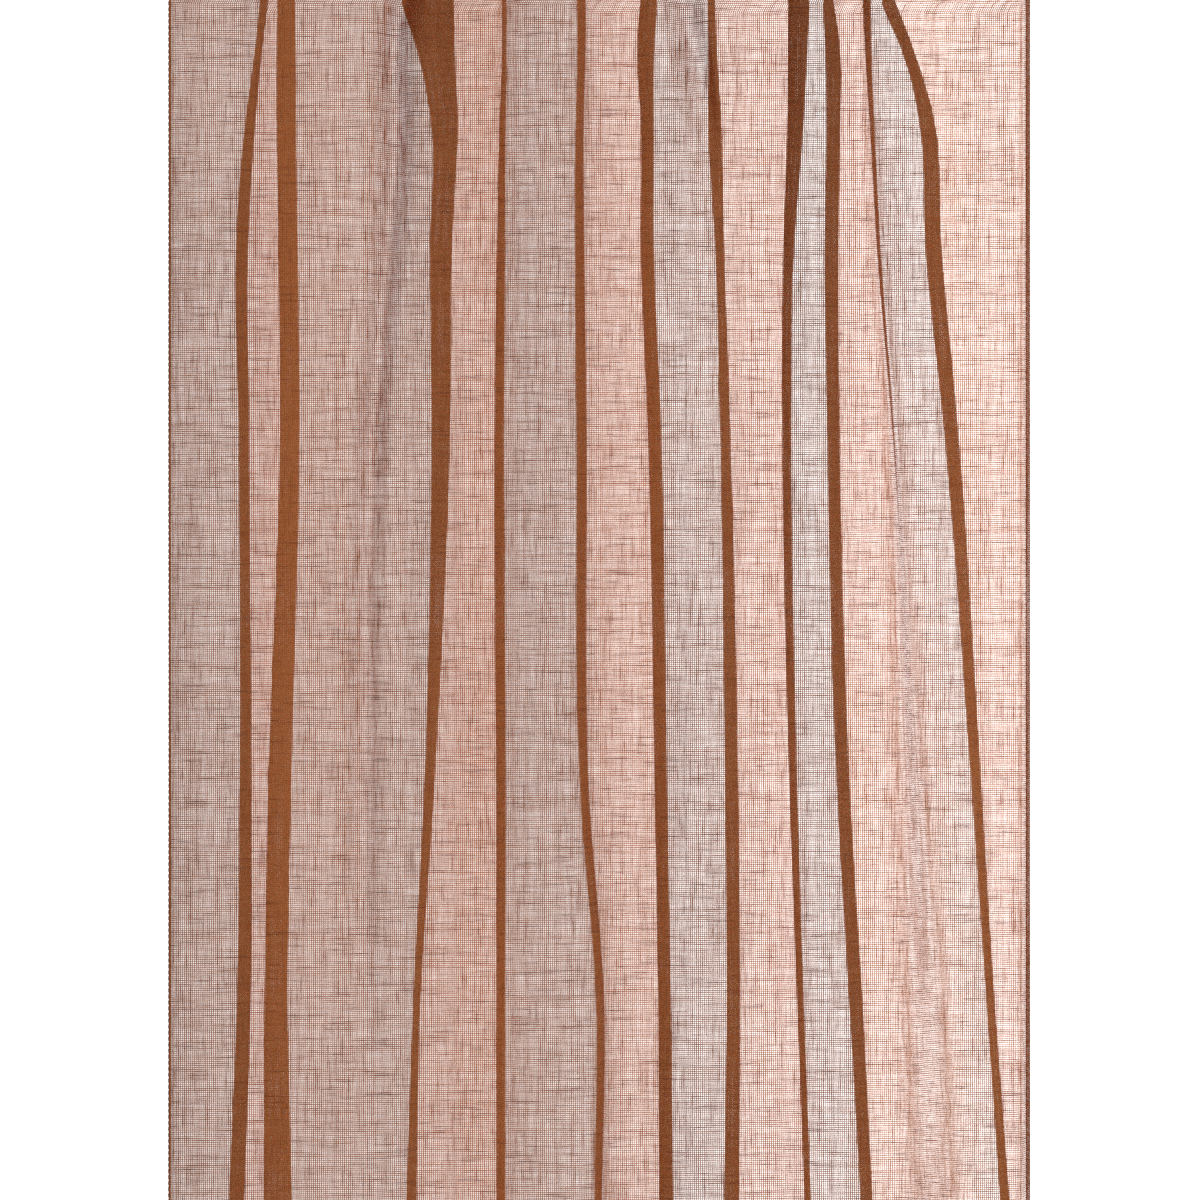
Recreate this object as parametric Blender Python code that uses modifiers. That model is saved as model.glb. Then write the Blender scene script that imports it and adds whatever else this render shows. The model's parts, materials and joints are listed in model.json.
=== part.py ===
"""Sheer curtain panel with a gathered pencil-pleat heading, hooks and a weighted hem.

Metres, +Z up. The origin is the middle of the line on which the nine hooks hang:
+X runs along the rail to the right, +Y runs away from the room, to the window.
The cloth hangs below, in front of the hooks, and its room side faces -Y.
"""

import math

import bpy
import numpy as np

# The cloth as it was cut and finished, and the width it is gathered to.
FLAT_WIDTH = 1.20
FLAT_DROP = 2.50
HUNG_WIDTH = 0.50

# The heading: a turned-over top, a woven tape on its back and three gathering cords.
HEADING_ABOVE_HOOKS = 0.030
FRILL = 0.008
TAPE_HEIGHT = 0.075
PLEATS = 24.5
PLEAT_SQUARENESS = 0.07
CORD_RADIUS = 0.0008
CORD_KNOT_RADIUS = 0.0024
CORD_INSET = 0.009
CORD_TAIL = 0.004

# Cloth layers, as solids with a little body to them.
CLOTH = 0.0006
TAPE = 0.0007
FACING_GAP = 0.0005
TAPE_GAP = 0.00035
GAP = 0.0003

# Hems.
SIDE_HEM = 0.018
SIDE_HEM_THICKNESS = 0.0012
BOTTOM_HEM = 0.060
WEIGHT_CORD_RADIUS = 0.0013
WEIGHT_CORD_GAP = 0.0006
WEIGHT_CORD_LIFT = 0.0016
WEIGHT_CORD_INSET = 0.006
LABEL_WIDTH = 0.011
LABEL_HEIGHT = 0.032
LABEL_THICKNESS = 0.0004
LABEL_ABOVE_HEM = 0.045

# Hooks: flat moulded nylon, seen from the side as a crown, a spine and a limb.
HOOKS = 9
HOOK_END_INSET = 0.018
HOOK_WIDTH = 0.006
HOOK_THICKNESS = 0.0022
HOOK_THROAT = 0.008
HOOK_SEAT = 0.004
HOOK_TIP_DROP = 0.010
HOOK_SPINE = 0.034
HOOK_LIMB_TOP = 0.008
HOOK_POCKET_GAP = 0.003

# The folds of the hanging cloth. Each row is one wall between two faces of cloth:
# its place from the left edge on a panel FOLD_PLAN_WIDTH wide, and how far the two
# faces lap over each other there, in millimetres at each height in FOLD_STATIONS.
# A negative lap is a wall that stands open.
FOLD_STATIONS = (0.095, 0.200, 0.445, 0.790)
FOLD_PLAN_WIDTH = 0.50
FOLDS = (
    ((54, 41, 44, 39), (9, 8, 8, 10)),
    ((67, 68, 66, 62), (9, 10, 11, 15)),
    ((150, 158, 154, 140), (30, 18, 10, 8)),
    ((194, 193, 192, 192), (4, 5, 7, 6)),
    ((239, 238, 239, 249), (7, 5, 4, 1)),
    ((280, 278, 284, 289), (8, 8, 7, 10)),
    ((315, 319, 325, 327), (4, 5, 6, 9)),
    ((366, 362, 360, 371), (17, 10, 6, 5)),
    ((383, 384, 388, 405), (5, 7, 8, 6)),
    ((406, 412, 426, 436), (10, 2, -4, -20)),
    ((418, 443, 464, 487), (7, 10, 6, 6)),
)
# How far back each face hangs, from -1 at the front to 1 at the back, high and low.
FACE_DEPTHS_HIGH = (-0.9, 0.8, -1.0, 0.7, -0.85, 0.9, -1.0, 0.75, -0.9, 0.95, -0.8, 0.85)
FACE_DEPTHS_LOW = (-0.9, 0.8, -1.0, 0.7, -0.85, 0.9, -1.0, 0.75, -0.9, 0.6, 0.0, 0.9)
FACE_CROWN = 0.003
EDGE_RETURN = 0.028
EDGE_SPREAD = 0.004
FOLD_SOFTNESS = 0.0045
GATHER_FADE = 0.100

# How finely the cloth solids are divided.
FINE_STEPS = 1200
MILLIMETRE = 0.001
LONGEST_MITRE = 2.0
PANEL_COLUMNS = 90
SIDE_HEM_COLUMNS = 4
EDGE_COLUMN = 0.001
HEM_COLUMNS = 60
COLUMNS_PER_PLEAT = 4
PANEL_ROWS_BELOW_SEAM = (0.02, 0.04, 0.06, 0.08, 0.1, 0.15, 0.2, 0.3, 0.445, 0.6, 0.79)

# Heights that follow from the sizes above.
HEADING_TOP = HEADING_ABOVE_HOOKS
TAPE_TOP = HEADING_TOP - FRILL
SEAM = TAPE_TOP - TAPE_HEIGHT
HEM_BOTTOM = HEADING_TOP - FLAT_DROP
HEM_TOP = HEM_BOTTOM + BOTTOM_HEM

# Layers that follow: the facing behind the front cloth, the tape behind the facing,
# and the hem's sleeve round its weight cord.
FACING_OFFSET = CLOTH + FACING_GAP
TAPE_OFFSET = FACING_OFFSET + (CLOTH + TAPE) / 2 + TAPE_GAP
HEM_SLEEVE = WEIGHT_CORD_RADIUS + CLOTH / 2 + WEIGHT_CORD_GAP
WEIGHT_CORD_HEIGHT = HEM_SLEEVE + WEIGHT_CORD_LIFT

# Depths that follow: hooks, then cords, then the tape's rear pleats, then the cloth.
CROWN_RADIUS = (HOOK_THROAT - HOOK_SEAT) / 2 + HOOK_THICKNESS / 2
SPINE_Y = -(HOOK_THROAT + HOOK_THICKNESS) / 2
LIMB_Y = SPINE_Y - HOOK_POCKET_GAP - HOOK_THICKNESS
CORD_Y = LIMB_Y - HOOK_THICKNESS / 2 - GAP - CORD_RADIUS
TAPE_BACK_Y = CORD_Y - CORD_RADIUS - GAP


def smooth_step(t):
    """0 up to t = 0, 1 from t = 1, and an S curve between."""
    t = np.clip(t, 0.0, 1.0)
    return t * t * (3.0 - 2.0 * t)


def path_length(x, y):
    return float(np.hypot(np.diff(x), np.diff(y)).sum())


def solve(length_for, target, low, high):
    """The value between low and high at which length_for gives target."""
    for _ in range(50):
        middle = (low + high) / 2
        if length_for(middle) < target:
            low = middle
        else:
            high = middle
    return (low + high) / 2


def pleat_wave(share, height):
    """Plan of the pencil pleats: broad rounded tops joined by steep walls.

    They start at a rear top and end at a front one, as the cloth's edges below do.
    """
    phase = 2 * math.pi * PLEATS * share
    pitch = HUNG_WIDTH / PLEATS
    x = HUNG_WIDTH * (share - 0.5) + PLEAT_SQUARENESS * pitch * np.sin(2 * phase)
    return x, height * np.cos(phase)


FINE_SHARE = np.linspace(0.0, 1.0, FINE_STEPS * 4 + 1)
PLEAT_HEIGHT = solve(lambda h: path_length(*pleat_wave(FINE_SHARE, h)), FLAT_WIDTH, 0.0, 0.1)
PLEAT_SHARES = np.linspace(0.0, 1.0, round(PLEATS * COLUMNS_PER_PLEAT) + 1)


def mitred_normals(x, y):
    """Directions to the back of the cloth at each point of each row's line in plan.

    Each is the mean of the two runs' normals that meet there, made longer by one
    over the cosine of half the turn, so that an offset line keeps its distance.
    """
    run_x = np.diff(x, axis=1)
    run_y = np.diff(y, axis=1)
    length = np.hypot(run_x, run_y)
    run_x = np.pad(run_x / length, ((0, 0), (1, 1)), mode="edge")
    run_y = np.pad(run_y / length, ((0, 0), (1, 1)), mode="edge")
    sum_x = run_x[:, 1:] + run_x[:, :-1]
    sum_y = run_y[:, 1:] + run_y[:, :-1]
    square = np.maximum(sum_x**2 + sum_y**2, 4 / LONGEST_MITRE**2)
    return -2 * sum_y / square, 2 * sum_x / square


def tape_back():
    """How far the rear face of the pleated tape reaches behind the heading's middle."""
    x, y = pleat_wave(PLEAT_SHARES, PLEAT_HEIGHT)
    back_y = mitred_normals(x[None], y[None])[1][0]
    return float((y + back_y * (TAPE_OFFSET + TAPE / 2)).max())


HEADING_Y = TAPE_BACK_Y - tape_back()


def across_stations(values, below):
    """A fold's millimetres as metres at heights below the seam, eased between stations."""
    stations = np.array(FOLD_STATIONS)
    index = np.clip(np.searchsorted(stations, below) - 1, 0, len(stations) - 2)
    part = smooth_step((below - stations[index]) / (stations[index + 1] - stations[index]))
    values = np.array(values) * MILLIMETRE
    return values[index] * (1 - part) + values[index + 1] * part


def fold_corners(below, depth):
    """Corners of the folded plan at each height, as two arrays of rows by corners."""
    scale = HUNG_WIDTH / FOLD_PLAN_WIDTH
    centre = np.stack([across_stations(f[0], below) for f in FOLDS], axis=1) * scale
    lap = np.stack([across_stations(f[1], below) for f in FOLDS], axis=1) * scale
    low = smooth_step((below - FOLD_STATIONS[0]) / (FOLD_STATIONS[-1] - FOLD_STATIONS[0]))
    high_low = np.array([FACE_DEPTHS_HIGH, FACE_DEPTHS_LOW]) * depth
    level = high_low[0] + low[:, None] * (high_low[1] - high_low[0])
    rows = len(below)
    faces = len(FOLDS) + 1
    x = np.empty((rows, 2 * faces + 2))
    y = np.empty_like(x)
    x[:, 1] = 0.0
    x[:, -2] = HUNG_WIDTH
    x[:, 2:-2:2] = centre + lap / 2
    x[:, 3:-2:2] = centre - lap / 2
    y[:, 1:-1:2] = level
    y[:, 2:-1:2] = level
    x[:, 0] = -EDGE_SPREAD
    x[:, -1] = HUNG_WIDTH + EDGE_SPREAD
    y[:, 0] = y[:, 1] + EDGE_RETURN
    y[:, -1] = y[:, -2] - EDGE_RETURN
    return x - HUNG_WIDTH / 2, y


def corner_shares(depth):
    """Where each corner lies along the cloth, from 0 to 1, on the middle station."""
    x, y = fold_corners(np.array(FOLD_STATIONS[2:3]), depth)
    run = np.concatenate([[0.0], np.cumsum(np.hypot(np.diff(x[0]), np.diff(y[0])))])
    return run / run[-1], run[-1]


FOLD_DEPTH = solve(lambda d: corner_shares(d)[1], FLAT_WIDTH, 0.001, 0.2)
CORNER_SHARES = corner_shares(FOLD_DEPTH)[0]


def folded_plan(share, below):
    """Plan of the hanging folds: straight runs between corners, then rounded.

    The corners are joined in straight runs, each face is crowned a little, and
    every point is then averaged with its neighbours under a bell of FOLD_SOFTNESS.
    """
    corner_x, corner_y = fold_corners(below, FOLD_DEPTH)
    reach = 4 * FOLD_SOFTNESS / FLAT_WIDTH
    fine = np.linspace(-reach, 1 + reach, FINE_STEPS)
    index = np.clip(np.searchsorted(CORNER_SHARES, fine) - 1, 0, len(CORNER_SHARES) - 2)
    part = (fine - CORNER_SHARES[index]) / (CORNER_SHARES[index + 1] - CORNER_SHARES[index])
    x = corner_x[:, index] * (1 - part) + corner_x[:, index + 1] * part
    y = corner_y[:, index] * (1 - part) + corner_y[:, index + 1] * part
    on_face = index % 2 == 1
    crown = FACE_CROWN * np.sin(math.pi * np.clip(part, 0, 1)) * on_face
    y = y + crown * np.sign(y)
    bell = np.exp(-0.5 * ((fine - share[:, None]) * FLAT_WIDTH / FOLD_SOFTNESS) ** 2)
    bell /= bell.sum(axis=1, keepdims=True)
    return x @ bell.T, y @ bell.T


def cloth_plan(share, below):
    """Plan of the cloth at each height: pleats at the seam, folds below them."""
    pleat_x, pleat_y = pleat_wave(share, PLEAT_HEIGHT)
    fold_x, fold_y = folded_plan(share, np.maximum(below, FOLD_STATIONS[0]))
    fade = smooth_step(below / GATHER_FADE)[:, None]
    x = pleat_x * (1 - fade) + fold_x * fade
    y = pleat_y * (1 - fade) + fold_y * fade
    return x, y + HEADING_Y


def offset_sheet(share, z, offset):
    """Points of a sheet at heights z, each row moved back from the cloth by offset."""
    x, y = cloth_plan(share, np.maximum(SEAM - z, 0.0))
    back_x, back_y = mitred_normals(x, y)
    x = x + back_x * offset[:, None]
    y = y + back_y * offset[:, None]
    return np.stack([x, y, np.broadcast_to(z[:, None], x.shape)], axis=-1)


def sheet_mesh(name, points, ring=False):
    """An open surface through a grid of points; ring joins its last row to its first."""
    rows, columns = points.shape[:2]
    index = np.arange(rows * columns).reshape(rows, columns)
    lower = np.roll(index, -1, axis=0) if ring else index[1:]
    upper = index if ring else index[:-1]
    faces = np.stack([upper[:, :-1], lower[:, :-1], lower[:, 1:], upper[:, 1:]], axis=-1)
    mesh = bpy.data.meshes.new(name)
    mesh.from_pydata(points.reshape(-1, 3).tolist(), [], faces.reshape(-1, 4).tolist())
    mesh.shade_smooth()
    return mesh


def add_object(name, data, material, collection):
    data.materials.append(material)
    made = bpy.data.objects.new(name, data)
    collection.objects.link(made)
    return made


def add_sheet(name, points, thickness, material, collection, ring=False):
    """A sheet of cloth: the surface through the points, given its thickness evenly."""
    made = add_object(name, sheet_mesh(name, points, ring), material, collection)
    shell = made.modifiers.new("Thickness", "SOLIDIFY")
    shell.thickness = thickness
    shell.offset = 0.0
    shell.use_even_offset = True
    shell.use_rim = True
    return made


def strip_columns(start, end, count):
    """Shares across a strip of cloth, with a narrow column at each edge.

    The narrow columns turn the strip's edges square to the cloth, so that two
    strips that meet edge to edge on a curve keep their gap.
    """
    edge = EDGE_COLUMN / FLAT_WIDTH
    inner = np.linspace(start, end, count + 1)[1:-1]
    return np.concatenate([[start, start + edge], inner, [end - edge, end]])


def rows_between(top, bottom):
    """The panel's rows that lie between two heights, with the two heights themselves."""
    inner = [SEAM - d for d in PANEL_ROWS_BELOW_SEAM if bottom + GAP < SEAM - d < top - GAP]
    return np.array([top] + inner + [bottom])


def add_panel(material, collection):
    """The single cloth of the drop, between the side hems and above the bottom hem."""
    inset = (SIDE_HEM + GAP) / FLAT_WIDTH
    share = strip_columns(inset, 1 - inset, PANEL_COLUMNS)
    z = rows_between(SEAM - GAP, HEM_TOP + GAP)
    return add_sheet("panel_fabric", offset_sheet(share, z, np.zeros(len(z))), CLOTH, material, collection)


def add_side_hems(material, collection):
    """The two upright edges, turned in twice and sewn."""
    z = rows_between(SEAM - GAP, HEM_TOP + GAP)
    width = SIDE_HEM / FLAT_WIDTH
    for name, start in (("side_hem_left", 0.0), ("side_hem_right", 1 - width)):
        share = strip_columns(start, start + width, SIDE_HEM_COLUMNS)
        points = offset_sheet(share, z, np.zeros(len(z)))
        add_sheet(name, points, SIDE_HEM_THICKNESS, material, collection)


def add_bottom_hem(material, collection):
    """The bottom hem: a flat sleeve, open at both ends, that swells at its lower fold."""
    share = np.linspace(0.0, 1.0, HEM_COLUMNS + 1)
    half = CLOTH / 2
    profile = (
        (half + GAP, BOTTOM_HEM - CLOTH),
        (half + 2 * GAP, 5 * HEM_SLEEVE),
        (HEM_SLEEVE, 1.8 * HEM_SLEEVE),
        (0.6 * HEM_SLEEVE, half),
    )
    offsets = np.array([p[0] for p in profile] + [-p[0] for p in reversed(profile)])
    heights = np.array([p[1] for p in profile] + [p[1] for p in reversed(profile)])
    points = offset_sheet(share, HEM_BOTTOM + heights, offsets)
    add_sheet("bottom_hem", points, CLOTH, material, collection, ring=True)


def add_heading_band(material, collection):
    """The top of the cloth: up the room side, over the top edge and down the back."""
    half = FACING_OFFSET / 2
    z = np.array([SEAM, HEADING_TOP - half, HEADING_TOP, HEADING_TOP - half, SEAM])
    offset = np.array([0.0, 0.0, half, FACING_OFFSET, FACING_OFFSET])
    points = offset_sheet(PLEAT_SHARES, z, offset)
    add_sheet("heading_band", points, CLOTH, material, collection)


def add_heading_tape(material, collection):
    """The woven tape sewn to the back of the heading, pleated with it."""
    points = offset_sheet(PLEAT_SHARES, np.array([TAPE_TOP, SEAM]), np.full(2, TAPE_OFFSET))
    add_sheet("heading_tape", points, TAPE, material, collection)


def poly_curve(name, points, radii, bevel):
    """A round cord along the points, thicker where its radius factor is over 1."""
    curve = bpy.data.curves.new(name, "CURVE")
    curve.dimensions = "3D"
    curve.bevel_depth = bevel
    curve.bevel_resolution = 2
    curve.use_fill_caps = True
    spline = curve.splines.new("POLY")
    spline.points.add(len(points) - 1)
    padded = np.concatenate([points, np.ones((len(points), 1))], axis=1)
    spline.points.foreach_set("co", padded.ravel())
    spline.points.foreach_set("radius", radii)
    spline.use_smooth = True
    return curve


def add_gathering_cords(material, collection):
    """Three cords drawn tight behind the rear pleats, knotted at both ends."""
    upper = TAPE_TOP - CORD_INSET
    lower = SEAM + CORD_INSET
    heights = (("upper", upper), ("middle", (upper + lower) / 2), ("lower", lower))
    end = HUNG_WIDTH / 2 + CORD_TAIL
    knot = CORD_KNOT_RADIUS
    runs = np.array([-end - 2 * knot, -end - knot, -end, 0.0, end, end + knot, end + 2 * knot])
    swell = knot / CORD_RADIUS
    radii = (0.5 * swell, swell, 1.0, 1.0, 1.0, swell, 0.5 * swell)
    for name, z in heights:
        points = np.stack([runs, np.full(7, CORD_Y), np.full(7, z)], axis=1)
        curve = poly_curve("gathering_cord_" + name, points, radii, CORD_RADIUS)
        add_object(curve.name, curve, material, collection)


def add_weight_cord(material, collection):
    """A cord of lead beads that lies in the lower fold of the bottom hem."""
    share = np.linspace(0.0, 1.0, HEM_COLUMNS + 1)
    points = offset_sheet(share, np.array([HEM_BOTTOM + WEIGHT_CORD_HEIGHT]), np.zeros(1))[0]
    inset = int(math.ceil(WEIGHT_CORD_INSET / FLAT_WIDTH * HEM_COLUMNS))
    points = points[inset:-inset]
    curve = poly_curve("hem_weight_cord", points, np.ones(len(points)), WEIGHT_CORD_RADIUS)
    add_object(curve.name, curve, material, collection)


def add_care_label(material, collection):
    """A blank woven label sewn to the back of the left side hem, near the floor."""
    middle = SIDE_HEM / 2
    half = LABEL_WIDTH / 2
    share = np.linspace(middle - half, middle + half, 3) / FLAT_WIDTH
    low = HEM_TOP + LABEL_ABOVE_HEM
    z = np.array([low + LABEL_HEIGHT, low])
    behind = SIDE_HEM_THICKNESS / 2 + GAP + LABEL_THICKNESS / 2
    points = offset_sheet(share, z, np.full(2, behind))
    add_sheet("care_label", points, LABEL_THICKNESS, material, collection)


def arc(centre_y, centre_z, radius, start, end, steps=4):
    """Points of an arc with their outward directions, angles in degrees from +Y to +Z."""
    angles = np.radians(np.linspace(start, end, steps + 1))
    out = np.stack([np.cos(angles), np.sin(angles)], axis=1)
    return np.array([centre_y, centre_z]) + radius * out, out


def hook_outline():
    """Side outline of a hook: its centre line, widened by half the thickness each way.

    The centre line goes from the tip over the crown, down the spine, round the
    lower bend and up the limb that slips into the tape.
    """
    side = HOOK_SEAT / 2
    crown_z = HOOK_THICKNESS / 2 - CROWN_RADIUS
    bend = (SPINE_Y - LIMB_Y) / 2
    back, back_out = arc(side, crown_z, CROWN_RADIUS, 0, 90)
    front, front_out = arc(-side, crown_z, CROWN_RADIUS, 90, 180)
    low, low_out = arc((SPINE_Y + LIMB_Y) / 2, -HOOK_SPINE, bend, 0, -180)
    tip = np.array([[-SPINE_Y, -HOOK_TIP_DROP]])
    limb = np.array([[LIMB_Y, -HOOK_LIMB_TOP]])
    line = np.concatenate([tip, back, front, low, limb])
    right = np.array([[1.0, 0.0]])
    normal = np.concatenate([right, back_out, front_out, -low_out, right])
    half = HOOK_THICKNESS / 2
    return np.concatenate([line + half * normal, (line - half * normal)[::-1]])


def hook_curve():
    """The hook's outline as a flat curve, extruded to the hook's width."""
    outline = hook_outline()
    curve = bpy.data.curves.new("hook", "CURVE")
    curve.dimensions = "2D"
    curve.fill_mode = "BOTH"
    curve.extrude = HOOK_WIDTH / 2
    spline = curve.splines.new("POLY")
    spline.points.add(len(outline) - 1)
    rest = np.tile([0.0, 1.0], (len(outline), 1))
    spline.points.foreach_set("co", np.concatenate([outline, rest], axis=1).ravel())
    spline.use_cyclic_u = True
    return curve


def add_hooks(material, collection):
    """Nine hooks, evenly spaced; the outline's plane is stood up across the rail."""
    curve = hook_curve()
    curve.materials.append(material)
    end = HUNG_WIDTH / 2 - HOOK_END_INSET
    for number, x in enumerate(np.linspace(-end, end, HOOKS), start=1):
        hook = bpy.data.objects.new(f"hook_{number}", curve)
        hook.rotation_euler = (math.pi / 2, 0.0, math.pi / 2)
        hook.location = (float(x), 0.0, 0.0)
        collection.objects.link(hook)


def make_material(name, colour, roughness):
    material = bpy.data.materials.new(name)
    material.use_nodes = True
    shader = material.node_tree.nodes["Principled BSDF"]
    shader.inputs["Base Color"].default_value = (*colour, 1.0)
    shader.inputs["Roughness"].default_value = roughness
    shader.inputs["Metallic"].default_value = 0.0
    return material


def clear_scene():
    for obj in list(bpy.data.objects):
        bpy.data.objects.remove(obj, do_unlink=True)


def main():
    clear_scene()
    collection = bpy.data.collections.new("sheer_curtain_panel")
    bpy.context.scene.collection.children.link(collection)
    cloth = make_material("rust_voile", (0.33, 0.15, 0.085), 0.85)
    hem = make_material("rust_hem", (0.25, 0.10, 0.055), 0.85)
    tape = make_material("heading_tape_weave", (0.72, 0.66, 0.58), 0.8)
    cord = make_material("polyester_cord", (0.80, 0.77, 0.72), 0.6)
    lead = make_material("lead_bead_cord", (0.55, 0.54, 0.52), 0.6)
    label = make_material("label_satin", (0.86, 0.85, 0.82), 0.5)
    nylon = make_material("hook_nylon", (0.88, 0.87, 0.83), 0.35)
    add_panel(cloth, collection)
    add_side_hems(hem, collection)
    add_bottom_hem(hem, collection)
    add_heading_band(hem, collection)
    add_heading_tape(tape, collection)
    add_gathering_cords(cord, collection)
    add_weight_cord(lead, collection)
    add_care_label(label, collection)
    add_hooks(nylon, collection)


main()
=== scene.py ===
"""Looks of a sheer curtain panel: open linen-look weave, gathered heading, hooks, hems.

Laid out as an add-on: one operator makes each piece or group of like pieces, and
the panel in the sidebar lists them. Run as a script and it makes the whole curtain
around the frame.
"""

import json
import math

import bmesh
import bpy
import numpy as np
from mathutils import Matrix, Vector


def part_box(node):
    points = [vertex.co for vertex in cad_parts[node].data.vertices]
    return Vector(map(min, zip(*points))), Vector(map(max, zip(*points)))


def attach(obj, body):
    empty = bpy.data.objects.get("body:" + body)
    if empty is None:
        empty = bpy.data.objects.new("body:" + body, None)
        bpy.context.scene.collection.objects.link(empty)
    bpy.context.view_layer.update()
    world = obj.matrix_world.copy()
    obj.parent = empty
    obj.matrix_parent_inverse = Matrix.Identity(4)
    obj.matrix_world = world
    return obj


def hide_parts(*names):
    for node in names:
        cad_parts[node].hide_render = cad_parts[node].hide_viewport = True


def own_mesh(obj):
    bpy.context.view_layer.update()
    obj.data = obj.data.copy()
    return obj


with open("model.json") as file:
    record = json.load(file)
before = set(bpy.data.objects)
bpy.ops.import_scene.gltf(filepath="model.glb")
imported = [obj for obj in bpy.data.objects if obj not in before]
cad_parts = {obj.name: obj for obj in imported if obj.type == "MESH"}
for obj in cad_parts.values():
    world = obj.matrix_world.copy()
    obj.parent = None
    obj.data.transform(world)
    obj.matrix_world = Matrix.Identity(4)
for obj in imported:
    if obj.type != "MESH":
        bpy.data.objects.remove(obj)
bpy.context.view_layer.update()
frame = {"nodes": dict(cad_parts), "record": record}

bl_info = {
    "name": "Sheer curtain panel",
    "version": (1, 0, 0),
    "blender": (4, 5, 0),
    "location": "3D View > Sidebar > Curtain",
    "description": "Builds a sheer curtain panel with a gathered heading around its frame",
    "category": "Add Mesh",
}

# Places and sizes read from the frame.
HOOK_NAMES = sorted(n for n in frame["nodes"] if n.startswith("hook_"))
HOOK_BOXES = [np.array(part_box(n)) for n in HOOK_NAMES]
HOOK_PLACES = [float(box[:, 0].mean()) for box in HOOK_BOXES]
TAPE_BOX = np.array(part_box("heading_tape"))
BAND_BOX = np.array(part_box("heading_band"))
HEM_BOX = np.array(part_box("bottom_hem"))
CORD_NAMES = ("gathering_cord_upper", "gathering_cord_middle", "gathering_cord_lower")
CORD_BOXES = [np.array(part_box(n)) for n in CORD_NAMES]
LABEL_BOX = np.array(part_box("care_label"))
SWAY = next(j for j in frame["record"]["behaviour"]["joints"] if j["name"] == "sway")

SEAM = float(TAPE_BOX[0, 2])
TAPE_TOP = float(TAPE_BOX[1, 2])
HEADING_TOP = float(BAND_BOX[1, 2])
HEM_BOTTOM = float(HEM_BOX[0, 2])
HEM_TOP = float(HEM_BOX[1, 2])
HEADING_Y = float(SWAY["pos_m"][1])
CORD_Y = float(CORD_BOXES[0][:, 1].mean())

# The cut of the cloth, in metres, as the frame's solids were laid out.
HUNG_WIDTH = 0.50
FLAT_WIDTH = 1.20
PLEATS = 24.5
PLEAT_HEIGHT = 0.0098
PLEAT_SQUARENESS = 0.07
SIDE_HEM = 0.018
LABEL_WIDTH = 0.011
FACING_OFFSET = 0.0011
TAPE_OFFSET = 0.0021
TAPE_THICKNESS = 0.0006
EDGE_GAP = 0.0003

# The hanging folds, in millimetres at the heights below the seam in FOLD_STATIONS:
# each wall's place from the left edge, the lap of the two faces it joins, and its softness.
FOLD_STATIONS = (0.095, 0.130, 0.165, 0.240, 0.340, 0.560, 0.680, 0.790, 2.360)
FOLDS = (
    ((54, 50, 46, 41, 42, 43, 42, 38, 34), (9, 8, 10, 11, 10, 11, 12, 13, 11), 3.0),
    ((67, 67, 67, 68, 69, 63, 61, 62, 64), (9, 10, 10, 10, 10, 12, 12, 15, 9), 2.2),
    ((149, 155, 159, 157, 157, 150, 143, 140, 131), (35, 24, 19, 16, 14, 8, 6, 8, 12), 2.4),
    ((194, 194, 193, 192, 191, 192, 192, 192, 190), (4, 4, 5, 7, 8, 8, 7, 7, 10), 6.0),
    ((239, 239, 238, 238, 239, 241, 250, 249, 243), (14, 13, 13, 14, 15, 13, 12, 11, 13), 13.0),
    ((279, 277, 278, 278, 282, 286, 288, 289, 291), (17, 17, 14, 14, 14, 13, 13, 14, 11), 9.5),
    ((315, 316, 317, 320, 323, 327, 328, 327, 334), (4, 5, 8, 5, 6, 8, 8, 9, 14), 2.2),
    ((366, 365, 364, 360, 359, 363, 367, 371, 379), (17, 15, 13, 9, 8, 7, 6, 6, 9), 3.4),
    ((383, 386, 386, 385, 386, 392, 399, 405, 412), (6, 10, 9, 9, 8, 9, 9, 8, 11), 5.0),
    ((406, 407, 409, 413, 421, 433, 440, 446, 449), (11, 9, 8, 7, 5, -4, -14, -22, -14), 9.0),
    ((418, 432, 441, 445, 455, 471, 479, 487, 484), (7, 5, 8, 9, 8, 6, 5, 6, 8), 3.0),
)
FACE_DEPTHS_HIGH = (-0.9, 0.8, -1.0, 0.7, -0.85, 0.9, -1.0, 0.75, -0.9, 0.95, -0.8, 0.85)
FACE_DEPTHS_LOW = (-0.9, 0.8, -1.0, 0.7, -0.85, 0.9, -1.0, 0.75, -0.9, 0.6, 0.0, 0.9)
FOLD_DEPTH = 0.0315
WALL_LENGTH = 0.058
FACE_CROWN = 0.005
EDGE_RETURN = 0.028
EDGE_SPREAD = 0.001
GATHER_FADE = 0.100
FINE_STEPS = 2000
MILLIMETRE = 0.001

# Soft dents that cross a face: its number, its places from the left edge and its depths
# in millimetres at the stations, and its half width in metres.
DENTS = (
    (2, (136, 129, 131, 126, 118, 113, 113, 113, 113), (24, 25, 24, 21, 17, 10, 5, 0, 0), 0.0065),
    (6, (297, 305, 312, 316, 318, 318, 318, 318, 318), (34, 32, 16, 0, 0, 0, 0, 0, 0), 0.0050),
    (11, (475, 482, 492, 500, 505, 505, 505, 505, 505), (-5, -4, -3, -1, 0, 0, 0, 0, 0), 0.0060),
)
# Slow unevenness of hanging cloth: waves across, waves down, height in metres, phase.
RIPPLES = (
    (5.0, 0.9, 0.0009, 0.4),
    (9.0, 1.7, 0.0007, 2.1),
    (14.0, 2.6, 0.0005, 4.0),
    (23.0, 1.2, 0.0004, 1.3),
    (31.0, 4.1, 0.0003, 5.2),
)

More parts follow.
